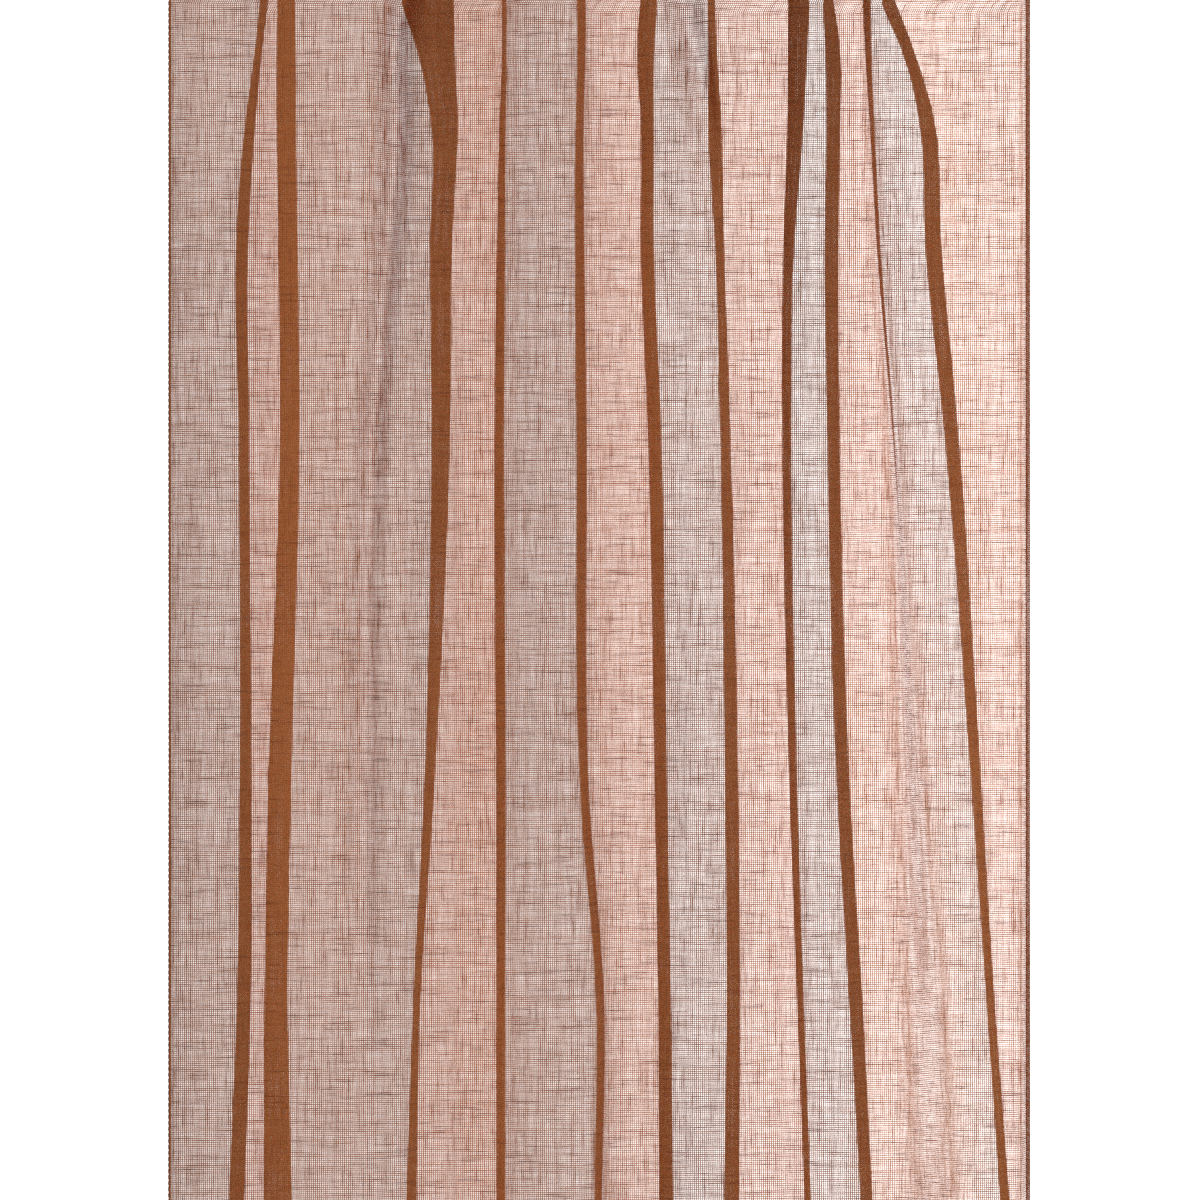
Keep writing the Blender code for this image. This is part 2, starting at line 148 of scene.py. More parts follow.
# Section of the bottom hem from its top to its fold: half the gap inside, in metres, and
# the height as a share of the hem's. It is widest where the weight cord lies.
HEM_PROFILE = (
    (0.0005, 0.995),
    (0.0006, 0.6),
    (0.0009, 0.25),
    (0.0019, 0.12),
    (0.0022, 0.07),
    (0.0017, 0.03),
    (0.0007, 0.006),
)

# The voile's threads, in shares of their pitch: how far soft noise moves them aside, what
# their own chance, the noise along them and a slub add to half their width, and how
# softly their edges end.
THREAD_WANDER = 0.35
THREAD_CHANCE = 0.05
THREAD_UNEVEN = 0.20
SLUB_SWELL = 0.05
EDGE_BLUR = 0.33

# Loops of the heading tape: half width, half height and how far past the cords they rise.
CORD_LOOP = (0.0022, 0.0028, 0.0013)
HOOK_LOOP = (0.0055, 0.0040, 0.0041)
LOOP_RISE_POWER = 0.55

# The hooks' strip: half its width and half its thickness.
STRIP_HALF_WIDTH = 0.0030
STRIP_HALF_THICKNESS = 0.0011

# Grid sizes: columns across the cloth and rows in three bands down it.
PANEL_COLUMNS = 560
PANEL_BANDS = ((0.0, 0.12, 24), (0.12, 0.85, 38), (0.85, None, 22))
PLEAT_STEPS = 16


def smooth_step(t):
    """0 up to t = 0, 1 from t = 1, and an S curve between."""
    t = np.clip(t, 0.0, 1.0)
    return t * t * (3.0 - 2.0 * t)


def across_stations(values, below):
    """Millimetres given at the stations, as metres at heights below the seam.

    A smooth cubic runs through the stations: each piece keeps the values and the
    slopes at its two ends, and beyond the last station the value stays.
    """
    stations = np.array(FOLD_STATIONS)
    values = np.array(values) * MILLIMETRE
    slopes = np.gradient(values, stations)
    index = np.clip(np.searchsorted(stations, below) - 1, 0, len(stations) - 2)
    gap = stations[index + 1] - stations[index]
    part = np.clip((below - stations[index]) / gap, 0, 1)
    rest = 1 - part
    start = values[index] * (1 + 2 * part) * rest**2 + slopes[index] * gap * part * rest**2
    end = values[index + 1] * part**2 * (1 + 2 * rest) - slopes[index + 1] * gap * part**2 * rest
    return start + end


def fold_corners(below):
    """Corners of the folded plan at each height, as two arrays of rows by corners."""
    centre = np.stack([across_stations(f[0], below) for f in FOLDS], axis=1)
    lap = np.stack([across_stations(f[1], below) for f in FOLDS], axis=1)
    low = smooth_step((below - FOLD_STATIONS[0]) / (FOLD_STATIONS[-2] - FOLD_STATIONS[0]))
    depths = np.array([FACE_DEPTHS_HIGH, FACE_DEPTHS_LOW]) * FOLD_DEPTH
    level = depths[0] + low[:, None] * (depths[1] - depths[0])
    x = np.empty((len(below), 2 * len(FOLDS) + 4))
    y = np.empty_like(x)
    x[:, 1] = 0.0
    x[:, -2] = HUNG_WIDTH
    x[:, 2:-2:2] = centre + lap / 2
    x[:, 3:-2:2] = centre - lap / 2
    y[:, 1:-1:2] = level
    y[:, 2:-1:2] = level
    x[:, 0] = -EDGE_SPREAD
    x[:, -1] = HUNG_WIDTH + EDGE_SPREAD
    y[:, 0] = y[:, 1] + EDGE_RETURN
    y[:, -1] = y[:, -2] - EDGE_RETURN
    return x - HUNG_WIDTH / 2, y


def folded_row(share, corner_x, corner_y, dents):
    """One level of the hanging folds: the plan at each share across the cloth.

    Straight runs join the corners. Each face is crowned by half a sine wave, and
    dents, each a bell across its face, push it back or forward. Every point is
    then the mean of its neighbours along the cloth, weighed by a bell as wide as
    the softness of the folds on its two sides. The third value is the place on the
    flat cloth: on a face it keeps step with x, so its threads hang plumb, and it
    gains one wall's length from each face to the next.
    """
    run = np.concatenate([[0.0], np.cumsum(np.hypot(np.diff(corner_x), np.diff(corner_y)))])
    corner_share = run / run[-1]
    wall_share = (corner_share[2:-2:2] + corner_share[3:-2:2]) / 2
    softness = np.interp(share, wall_share, [f[2] * MILLIMETRE for f in FOLDS]) / FLAT_WIDTH
    reach = 4 * softness.max()
    fine = np.linspace(-reach, 1 + reach, FINE_STEPS)
    index = np.clip(np.searchsorted(corner_share, fine) - 1, 0, len(corner_share) - 2)
    part = (fine - corner_share[index]) / (corner_share[index + 1] - corner_share[index])
    x = corner_x[index] * (1 - part) + corner_x[index + 1] * part
    y = corner_y[index] * (1 - part) + corner_y[index + 1] * part
    across = x + WALL_LENGTH * (index // 2 + (index % 2 == 0) * (part - 1))
    y = y + FACE_CROWN * np.sin(math.pi * np.clip(part, 0, 1)) * (index % 2 == 1) * np.sign(y)
    for face, place, depth, half_width in dents:
        y = y + depth * np.exp(-(((x - place) / half_width) ** 2)) * (index == 2 * face + 1)
    bell = np.exp(-0.5 * ((fine - share[:, None]) / softness[:, None]) ** 2)
    bell /= bell.sum(axis=1, keepdims=True)
    return bell @ x, bell @ y, bell @ across


def folded_plan(share, below):
    """Plan of the hanging folds and place on the flat cloth, rows of heights by columns."""
    corner_x, corner_y = fold_corners(below)
    places = [across_stations(d[1], below) - HUNG_WIDTH / 2 for d in DENTS]
    depths = [across_stations(d[2], below) for d in DENTS]
    plan = np.empty((3, len(below), len(share)))
    for row in range(len(below)):
        dents = [(d[0], p[row], h[row], d[3]) for d, p, h in zip(DENTS, places, depths)]
        plan[:, row] = folded_row(share, corner_x[row], corner_y[row], dents)
    return plan


def pleat_wave(share):
    """Plan of the pencil pleats: a cosine in depth, squared a little across."""
    phase = 2 * math.pi * PLEATS * share
    pitch = HUNG_WIDTH / PLEATS
    x = HUNG_WIDTH * (share - 0.5) + PLEAT_SQUARENESS * pitch * np.sin(2 * phase)
    return x, PLEAT_HEIGHT * np.cos(phase)


def ripple(share, below):
    """Sum of shallow sine waves across and down the cloth, growing from the seam."""
    height = np.zeros((len(below), len(share)))
    for across, down, size, phase in RIPPLES:
        wave = across * 2 * math.pi * share[None, :] + down * 2 * math.pi * below[:, None] + phase
        height += size * np.sin(wave)
    return height * smooth_step(below / GATHER_FADE)[:, None]


def cloth_plan(share, below):
    """Plan of the cloth and place on the flat cloth: pleats at the seam, folds below them."""
    pleats = np.stack([*pleat_wave(share), FLAT_WIDTH * (share - 0.5)])
    plan = np.tile(pleats[:, None], (1, len(below), 1))
    loose = below > 0
    if loose.any():
        folds = folded_plan(share, np.maximum(below[loose], FOLD_STATIONS[0]))
        fade = smooth_step(below[loose] / GATHER_FADE)[:, None]
        plan[:, loose] += (folds - pleats[:, None]) * fade
        plan[1, loose] += ripple(share, below[loose])
    plan[1] += HEADING_Y
    return plan


def back_normals(x, y):
    """Unit directions to the back of the cloth in plan, from each row's slope."""
    along_x = np.gradient(x, axis=1)
    along_y = np.gradient(y, axis=1)
    length = np.hypot(along_x, along_y)
    return -along_y / length, along_x / length


def lay_cloth(share, z, offset=0.0):
    """Points at heights z across the cloth's shares, moved back from it by offset.

    The second value is each point's place across the flat cloth.
    """
    x, y, across = cloth_plan(share, np.maximum(SEAM - z, 0.0))
    back_x, back_y = back_normals(x, y)
    offset = np.broadcast_to(offset, z.shape)[:, None]
    heights = np.broadcast_to(z[:, None], x.shape)
    return np.stack([x + back_x * offset, y + back_y * offset, heights], axis=-1), across


def cloth_points(share, z, offset=0.0):
    return lay_cloth(share, z, offset)[0]


def make_mesh(name, points, faces, uv=None):
    """A smooth mesh object at the origin; uv holds one pair for each point."""
    mesh = bpy.data.meshes.new(name)
    mesh.from_pydata(points.reshape(-1, 3).tolist(), [], faces)
    if uv is not None:
        layer = mesh.uv_layers.new(name="cloth_metres")
        corner = np.empty(len(mesh.loops), dtype=np.int32)
        mesh.loops.foreach_get("vertex_index", corner)
        layer.data.foreach_set("uv", uv.reshape(-1, 2)[corner].astype(np.float32).ravel())
    mesh.shade_smooth()
    piece = bpy.data.objects.new(name, mesh)
    bpy.context.scene.collection.objects.link(piece)
    return piece


def grid_faces(rows, columns, close_rows=False, close_columns=False):
    """Quads of a grid of points, its rows running down and its columns to the right."""
    index = np.arange(rows * columns).reshape(rows, columns)
    if close_rows:
        index = np.concatenate([index, index[:1]], axis=0)
    if close_columns:
        index = np.concatenate([index, index[:, :1]], axis=1)
    quads = np.stack([index[:-1, :-1], index[1:, :-1], index[1:, 1:], index[:-1, 1:]], axis=-1)
    return quads.reshape(-1, 4).tolist()


def sheet_piece(name, points, thickness, uv, close_rows=False):
    """A sheet of cloth through a grid of points, given its thickness evenly."""
    faces = grid_faces(*points.shape[:2], close_rows=close_rows)
    piece = make_mesh(name, points, faces, uv)
    shell = piece.modifiers.new("Thickness", "SOLIDIFY")
    shell.thickness = thickness
    shell.offset = 0.0
    shell.use_rim = True
    return piece


def flat_uv(across, down):
    """Cloth coordinates in metres: across from the middle, and down from the top."""
    return np.stack([across, np.broadcast_to(down[:, None], across.shape)], axis=-1)


def tube(name, line, radii, sides, side_way, up_way):
    """A closed round tube: circles of the radii about a line, with flat ends.

    The circle at each point lies in the plane of the two ways, and its corners
    are the point plus radius times cosine and sine of even angles along them.
    """
    angle = np.linspace(0, 2 * math.pi, sides, endpoint=False)
    ring = np.cos(angle)[None, :, None] * side_way[:, None] + np.sin(angle)[None, :, None] * up_way[:, None]
    points = line[:, None] + ring * radii[:, None, None]
    faces = grid_faces(len(line), sides, close_columns=True)
    count = len(line) * sides
    faces.append(list(range(sides)))
    faces.append(list(range(count - 1, count - sides - 1, -1)))
    piece = make_mesh(name, points, faces)
    face_outwards(piece)
    return piece


def face_outwards(piece):
    """Turns a closed mesh's faces to point outwards."""
    work = bmesh.new()
    work.from_mesh(piece.data)
    bmesh.ops.recalc_face_normals(work, faces=work.faces)
    work.to_mesh(piece.data)
    work.free()


def stitch_rows(name, centres, along, across, length, radius):
    """Sewing stitches: each a short thread, thick in the middle and sunk at its ends.

    Around each centre go four rings of five points; a ring's place is its share of
    the length along the seam, and its radius narrows at the two ends.
    """
    sides = 5
    angle = np.linspace(0, 2 * math.pi, sides, endpoint=False)
    places = np.array([-0.5, -0.3, 0.3, 0.5]) * length
    widths = np.array([0.35, 1.0, 1.0, 0.35]) * radius
    out = np.cross(along, across)
    spin = np.cos(angle)[:, None, None] * across + np.sin(angle)[:, None, None] * out
    rings = centres[None, None] + places[:, None, None, None] * along[None, None]
    points = (rings + widths[:, None, None, None] * spin[None]).transpose(2, 0, 1, 3)
    ring = np.arange(sides)
    one = np.array(grid_faces(4, sides, close_columns=True))
    step = np.arange(len(centres))[:, None, None] * (4 * sides)
    faces = (one[None] + step).reshape(-1, 4).tolist()
    caps = np.stack([ring[::-1], ring + 3 * sides])
    faces += (caps[None] + step).reshape(-1, sides).tolist()
    piece = make_mesh(name, points, faces)
    face_outwards(piece)
    return piece


# ---------------------------------------------------------------- materials


def new_material(name):
    """An empty material with its output node."""
    material = bpy.data.materials.new(name)
    material.use_nodes = True
    material.node_tree.nodes.clear()
    material.node_tree.nodes.new("ShaderNodeOutputMaterial")
    return material


def put(tree, socket, value):
    """Links a socket to a value that is a socket, or sets it to a plain value."""
    if isinstance(value, bpy.types.NodeSocket):
        tree.links.new(value, socket)
    else:
        socket.default_value = value


def maths(tree, operation, *values):
    """A Math node's result."""
    node = tree.nodes.new("ShaderNodeMath")
    node.operation = operation
    for socket, value in zip(node.inputs, values):
        put(tree, socket, value)
    return node.outputs[0]


def between(tree, value, low, high, to_low=0.0, to_high=1.0):
    """The value eased from one range to another by a smooth step."""
    node = tree.nodes.new("ShaderNodeMapRange")
    node.interpolation_type = "SMOOTHSTEP"
    for socket, given in zip(node.inputs[:5], (value, low, high, to_low, to_high)):
        put(tree, socket, given)
    return node.outputs["Result"]


def noise(tree, x, y, scale, detail=1.0):
    """Soft noise at a point made of two values, from 0 to 1."""
    place = tree.nodes.new("ShaderNodeCombineXYZ")
    put(tree, place.inputs[0], x)
    put(tree, place.inputs[1], y)
    node = tree.nodes.new("ShaderNodeTexNoise")
    node.noise_dimensions = "2D"
    node.inputs["Scale"].default_value = scale
    node.inputs["Detail"].default_value = detail
    tree.links.new(place.outputs[0], node.inputs["Vector"])
    return node.outputs["Fac"]


def streaks(tree, across, down, across_scale, down_scale, detail):
    """Soft noise drawn out into streaks, by a different scale each way on the cloth."""
    x = maths(tree, "MULTIPLY", across, across_scale)
    y = maths(tree, "MULTIPLY", down, down_scale)
    return noise(tree, x, y, 1.0, detail)


def chance(tree, value):
    """A random value from 0 to 1 for each whole number."""
    node = tree.nodes.new("ShaderNodeTexWhiteNoise")
    node.noise_dimensions = "1D"
    put(tree, node.inputs["W"], value)
    return node.outputs["Value"]


def blend_colour(tree, share, first, second):
    """A colour between two, by a share."""
    node = tree.nodes.new("ShaderNodeMix")
    node.data_type = "RGBA"
    put(tree, node.inputs["Factor"], share)
    sockets = [s for s in node.inputs if s.type == "RGBA"]
    for socket, colour in zip(sockets, (first, second)):
        put(tree, socket, colour if isinstance(colour, bpy.types.NodeSocket) else (*colour, 1.0))
    return next(s for s in node.outputs if s.type == "RGBA")


def thread_cover(tree, along, across, pitch, width, slub):
    """How fully one set of threads covers a point, each thread's own chance, and its slubs.

    A thread repeats every pitch, and soft noise moves it a little aside. Its half
    width is the mean width, changed a little by the thread's own chance and more
    by noise that runs along it, and it swells where a slub runs.
    """
    place = maths(tree, "DIVIDE", across, pitch)
    aside = maths(tree, "SUBTRACT", noise(tree, across, along, 90.0, 2.0), 0.5)
    place = maths(tree, "MULTIPLY_ADD", aside, THREAD_WANDER, place)
    number = maths(tree, "FLOOR", place)
    own = chance(tree, number)
    off = maths(tree, "ABSOLUTE", maths(tree, "SUBTRACT", maths(tree, "FRACT", place), 0.5))
    thread_line = maths(tree, "MULTIPLY", number, 7.31)
    uneven = noise(tree, maths(tree, "MULTIPLY", along, slub), thread_line, 1.0, 2.0)
    slubs = between(tree, uneven, 0.55, 0.80)
    half = maths(tree, "MULTIPLY_ADD", own, THREAD_CHANCE, width)
    half = maths(tree, "MULTIPLY_ADD", maths(tree, "SUBTRACT", uneven, 0.5), THREAD_UNEVEN, half)
    half = maths(tree, "MULTIPLY_ADD", slubs, SLUB_SWELL, half)
    cover = between(tree, maths(tree, "SUBTRACT", half, off), -EDGE_BLUR, EDGE_BLUR)
    return cover, own, slubs


def voile_material(name, colours, cover, translucence):
    """Open plain weave: warp and weft threads with slubs, light passing between them."""
    material = new_material(name)
    tree = material.node_tree
    nodes, links = tree.nodes, tree.links
    uv = nodes.new("ShaderNodeUVMap")
    uv.uv_map = "cloth_metres"
    split = nodes.new("ShaderNodeSeparateXYZ")
    links.new(uv.outputs[0], split.inputs[0])
    across, down = split.outputs[0], split.outputs[1]
    pitch = colours.thread_pitch
    beaten = streaks(tree, across, down, 22.0, 300.0, 2.0)
    spread = streaks(tree, across, down, 260.0, 30.0, 1.0)
    weft_width = maths(tree, "MULTIPLY_ADD", beaten, 0.10, cover / 2 - 0.08)
    warp_width = maths(tree, "MULTIPLY_ADD", spread, 0.06, cover / 2 - 0.06)
    warp, warp_own, warp_slubs = thread_cover(tree, down, across, pitch, warp_width, 55.0)
    weft, weft_own, weft_slubs = thread_cover(tree, across, down, pitch * 0.93, weft_width, 45.0)
    covered = maths(tree, "MAXIMUM", warp, weft)
    dyed = blend_colour(tree, between(tree, weft_own, 0.1, 0.9), colours.weft, colours.weft_bright)
    dyed_warp = blend_colour(tree, between(tree, warp_own, 0.1, 0.9), colours.warp, colours.weft_bright)
    dyed = blend_colour(tree, maths(tree, "MULTIPLY", warp, 0.5), dyed, dyed_warp)
    slubs = maths(tree, "MAXIMUM", weft_slubs, maths(tree, "MULTIPLY", warp_slubs, 0.5))
    dyed = blend_colour(tree, maths(tree, "MULTIPLY", slubs, 0.45), dyed, colours.slub)
    lit = blend_colour(tree, maths(tree, "MULTIPLY", slubs, 0.40), colours.glow, colours.slub)
    thread = nodes.new("ShaderNodeBsdfPrincipled")
    links.new(dyed, thread.inputs["Base Color"])
    thread.inputs["Roughness"].default_value = 0.85
    thread.inputs["Specular IOR Level"].default_value = 0.1
    thread.inputs["Sheen Weight"].default_value = 0.03
    thread.inputs["Sheen Roughness"].default_value = 0.5
    glow = nodes.new("ShaderNodeBsdfTranslucent")
    links.new(lit, glow.inputs["Color"])
    fibre = nodes.new("ShaderNodeMixShader")
    fibre.inputs[0].default_value = translucence
    links.new(thread.outputs[0], fibre.inputs[1])
    links.new(glow.outputs[0], fibre.inputs[2])
    clear = nodes.new("ShaderNodeBsdfTransparent")
    whole = nodes.new("ShaderNodeMixShader")
    links.new(covered, whole.inputs[0])
    links.new(clear.outputs[0], whole.inputs[1])
    links.new(fibre.outputs[0], whole.inputs[2])
    links.new(whole.outputs[0], nodes["Material Output"].inputs["Surface"])
    return material


def solid_material(name, colour, second, roughness, scale, bump, sheen=0.0, stretch=(1, 1, 1)):
    """A solid finish: two shades mixed by noise in the piece's own space, with fine bump."""
    material = new_material(name)
    tree = material.node_tree
    nodes, links = tree.nodes, tree.links
    place = nodes.new("ShaderNodeTexCoord")
    turn = nodes.new("ShaderNodeMapping")
    turn.inputs["Scale"].default_value = stretch
    grain = nodes.new("ShaderNodeTexNoise")
    grain.inputs["Scale"].default_value = scale
    grain.inputs["Detail"].default_value = 3.0
    links.new(place.outputs["Object"], turn.inputs["Vector"])
    links.new(turn.outputs[0], grain.inputs["Vector"])
    shader = nodes.new("ShaderNodeBsdfPrincipled")
    shade = between(tree, grain.outputs["Fac"], 0.3, 0.7)
    links.new(blend_colour(tree, shade, colour, second), shader.inputs["Base Color"])
    shader.inputs["Roughness"].default_value = roughness
    shader.inputs["Sheen Weight"].default_value = sheen
    raised = nodes.new("ShaderNodeBump")
    raised.inputs["Strength"].default_value = bump
    raised.inputs["Distance"].default_value = 0.0002
    links.new(grain.outputs["Fac"], raised.inputs["Height"])
    links.new(raised.outputs[0], shader.inputs["Normal"])
    links.new(shader.outputs[0], nodes["Material Output"].inputs["Surface"])
    return material


def woven_material(name, colour, second, pitch, roughness=0.8):
    """A close weave: raised warp and weft ribs in cloth coordinates; its second, darker colour is painted
    shade in the hollows between the ribs, and noise darkens the yarn at random.
    """
    material = new_material(name)
    tree = material.node_tree
    nodes, links = tree.nodes, tree.links
    uv = nodes.new("ShaderNodeUVMap")
    uv.uv_map = "cloth_metres"
    split = nodes.new("ShaderNodeSeparateXYZ")
    links.new(uv.outputs[0], split.inputs[0])
    waves = []
    for socket in split.outputs[:2]:
        turns = maths(tree, "MULTIPLY", socket, 2 * math.pi / pitch)
        waves.append(maths(tree, "ABSOLUTE", maths(tree, "SINE", turns)))
    rib = maths(tree, "MAXIMUM", *waves)
    yarn = noise(tree, split.outputs[0], split.outputs[1], 260.0, 2.0)
    shader = nodes.new("ShaderNodeBsdfPrincipled")
    # Painted shade: the share of the second colour grows where the ribs fall away, so the hollows between
    # them are darkened; the yarn noise adds random tone.
    raised_part = between(tree, rib, 0.2, 1.0, 0.35, 1.0)
    shade = maths(tree, "MULTIPLY", raised_part, between(tree, yarn, 0.2, 0.8, 0.6, 1.0))
    links.new(blend_colour(tree, shade, second, colour), shader.inputs["Base Color"])
    shader.inputs["Roughness"].default_value = roughness
    shader.inputs["Sheen Weight"].default_value = 0.1
    raised = nodes.new("ShaderNodeBump")
    raised.inputs["Strength"].default_value = 0.6
    raised.inputs["Distance"].default_value = 0.0002
    links.new(rib, raised.inputs["Height"])
    links.new(raised.outputs[0], shader.inputs["Normal"])
    links.new(shader.outputs[0], nodes["Material Output"].inputs["Surface"])
    return material


# ---------------------------------------------------------------- settings


def colour_property(name, description, default):
    return bpy.props.FloatVectorProperty(
        name=name, description=description, default=default, subtype="COLOR", min=0.0, max=1.0
    )


def share_property(name, description, default):
    return bpy.props.FloatProperty(name=name, description=description, default=default, min=0.0, max=1.0)


def amount_property(name, description, default):
    return bpy.props.FloatProperty(name=name, description=description, default=default, min=0.0)


def length_property(name, description, default):
    return bpy.props.FloatProperty(
        name=name, description=description, default=default, unit="LENGTH", precision=5, min=0.0
    )


class CurtainWeave(bpy.types.PropertyGroup):
    """The voile's weave and yarn."""

    thread_pitch: length_property("Thread pitch", "Distance from one warp thread to the next", 0.0012)
    thickness: length_property("Thickness", "Thickness of one layer of cloth", 0.0005)
    cover: share_property("Thread width", "Thread width as a share of the pitch", 0.49)
    hem_cover: share_property("Hem thread width", "The same where cloth lies on cloth", 0.74)
    translucence: share_property("Translucence", "Share of light that the yarn lets through", 0.5)
    warp: colour_property("Warp", "Colour of the upright threads", (0.52, 0.23, 0.095))
    weft: colour_property("Weft", "Colour of the darker level threads", (0.50, 0.20, 0.075))
    weft_bright: colour_property("Bright weft", "Colour of the brighter level threads", (0.62, 0.30, 0.13))
    slub: colour_property("Slub", "Colour of the thick slubs", (0.34, 0.11, 0.06))
    glow: colour_property("Glow", "Colour of light that has come through the yarn", (0.71, 0.275, 0.078))


class CurtainTrim(bpy.types.PropertyGroup):
    """Tape, cords, hooks and sewing thread."""

    tape: colour_property("Tape", "Colour of the heading tape", (0.74, 0.68, 0.60))
    # Painted shade: this darker colour is put in the hollows between the tape's ribs, where shade falls.
    tape_painted_shade: colour_property("Tape shade", "Colour between the tape's ribs", (0.50, 0.44, 0.37))
    cord: colour_property("Cord", "Colour of the gathering cords", (0.82, 0.79, 0.73))
    lead: colour_property("Weight cord", "Colour of the sleeve over the lead beads", (0.50, 0.48, 0.45))
    nylon: colour_property("Hooks", "Colour of the nylon hooks", (0.86, 0.85, 0.81))
    thread: colour_property("Sewing thread", "Colour of the stitches", (0.30, 0.12, 0.065))
    label: colour_property("Label", "Colour of the blank satin label", (0.85, 0.83, 0.79))
    stitch_length: length_property("Stitch length", "Length of one stitch", 0.0026)
    stitch_gap: length_property("Stitch gap", "Gap between two stitches", 0.0009)
    stitch_radius: length_property("Stitch radius", "Half thickness of the sewing thread", 0.00022)


class CurtainStage(bpy.types.PropertyGroup):
    """Floor, light and camera."""

    floor_side: length_property("Floor side", "Side of the square floor", 7.0)
    floor_gap: length_property("Floor gap", "How far the hem hangs above the floor", 0.02)
    view_height: length_property("View height", "Height of cloth in the camera's view", 0.7009)
    view_top: length_property("View top", "How far below the seam the view starts", 0.095)
    lens: amount_property("Lens", "Focal length in millimetres", 200.0)
    window: amount_property("Window light", "Strength of the window as seen through the cloth", 1.0)
    window_side: amount_property("Window side", "How much brighter the light is to the right", 2.1)
    front_light: amount_property("Front light", "Strength of the light cast on the cloth from the room", 0.08)
    back_light: amount_property("Back light", "Strength of the light cast on the cloth from behind", 1.7)
    above: amount_property("Overhead light", "Strength of the light cast from overhead", 0.7)
    room: amount_property("Room lamp", "Power of the soft lamp before the cloth, in watts", 5.0)
    window_lamp: amount_property("Window lamp", "Power of the soft lamp behind the cloth, in watts", 2.5)


# ---------------------------------------------------------------- pieces


def hang(piece, body):
    """Lets cloth move with its body, and gives the piece its own copy of its mesh."""
    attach(piece, body)
    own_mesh(piece)
    return piece


def hook_body(name):
    """The body of the frame that carries a hook."""
    bodies = frame["record"]["behaviour"]["bodies"]
    return next(body for body, nodes in bodies.items() if name in nodes)


def colours():
    return bpy.context.scene.curtain_weave


def trims():
    return bpy.context.scene.curtain_trim


def hem_cloth():
    """The material of doubled cloth, made once."""
    found = bpy.data.materials.get("voile_doubled")
    weave = colours()
    return found or voile_material("voile_doubled", weave, weave.hem_cover, weave.translucence * 0.7)


def thread_finish():
    found = bpy.data.materials.get("sewing_thread")
    dark = tuple(0.7 * c for c in trims().thread)
    return found or solid_material("sewing_thread", tuple(trims().thread), dark, 0.6, 900.0, 0.3)


def panel_rows():
    """Heights of the panel's rows: close together under the gathers, wider below."""
    last = SEAM - HEM_TOP - EDGE_GAP
    bands = [np.linspace(a, b or last, n, endpoint=b is None) for a, b, n in PANEL_BANDS]
    z = SEAM - EDGE_GAP / 2 - np.concatenate(bands)
    z[-1] = HEM_TOP + EDGE_GAP
    return z


class CURTAIN_OT_panel(bpy.types.Operator):
    """Makes the single cloth of the drop, gathered at its top and folded below"""

    bl_idname = "curtain.panel"
    bl_label = "Panel cloth"

    def execute(self, context):
        weave = colours()
        inset = (SIDE_HEM + EDGE_GAP) / FLAT_WIDTH
        share = np.linspace(inset, 1 - inset, PANEL_COLUMNS)
        z = panel_rows()
        points, across = lay_cloth(share, z)
        piece = sheet_piece("panel_cloth", points, weave.thickness, flat_uv(across, HEADING_TOP - z))
        piece.data.materials.append(voile_material("voile", weave, weave.cover, weave.translucence))
        hang(piece, "drop")
        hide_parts("panel_fabric")
        return {"FINISHED"}


class CURTAIN_OT_side_hems(bpy.types.Operator):
    """Makes the two upright hems, turned in twice, each with its row of stitches"""

    bl_idname = "curtain.side_hems"
    bl_label = "Side hems"

    def execute(self, context):
        width = SIDE_HEM / FLAT_WIDTH
        z = panel_rows()
        for side, start in (("left", 0.0), ("right", 1 - width)):
            share = np.linspace(start, start + width, 14)
            points, across = lay_cloth(share, z)
            piece = sheet_piece(f"side_hem_{side}_cloth", points, 0.0009, flat_uv(across, HEADING_TOP - z))
            piece.data.materials.append(hem_cloth())
            hang(piece, "drop")
            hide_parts(f"side_hem_{side}")
            inner = start + width * (0.88 if side == "left" else 0.12)
            self.sew(side, inner)
        return {"FINISHED"}

    def sew(self, side, share):
        """A row of stitches down the hem, on the room side."""
        trim = trims()
        step = trim.stitch_length + trim.stitch_gap
        z = np.arange(SEAM - 0.004, HEM_TOP + 0.004, -step)
        around = np.array([share - 0.0008, share, share + 0.0008])
        points = cloth_points(around, z, -0.00055)
        across = points[:, 2] - points[:, 0]
        across /= np.linalg.norm(across, axis=1, keepdims=True)
        along = np.gradient(points[:, 1], axis=0)
        along /= np.linalg.norm(along, axis=1, keepdims=True)
        name = f"side_stitches_{side}"
        piece = stitch_rows(name, points[:, 1], along, across, trim.stitch_length, trim.stitch_radius)
        piece.data.materials.append(thread_finish())
        hang(piece, "drop")


def level_stitches(name, z, offset, body, start=0.004, end=0.996):
    """A row of stitches that runs across the cloth at one height."""
    trim = trims()
    step = trim.stitch_length + trim.stitch_gap
    count = int(FLAT_WIDTH * (end - start) / step)
    share = np.linspace(start, end, count)
    row = cloth_points(share, np.array([z]), offset)[0]
    along = np.gradient(row, axis=0)
    along /= np.linalg.norm(along, axis=1, keepdims=True)
    across = np.broadcast_to(np.array([0.0, 0.0, 1.0]), along.shape)
    piece = stitch_rows(name, row, along, across, trim.stitch_length, trim.stitch_radius)
    piece.data.materials.append(thread_finish())
    hang(piece, body)
    return piece


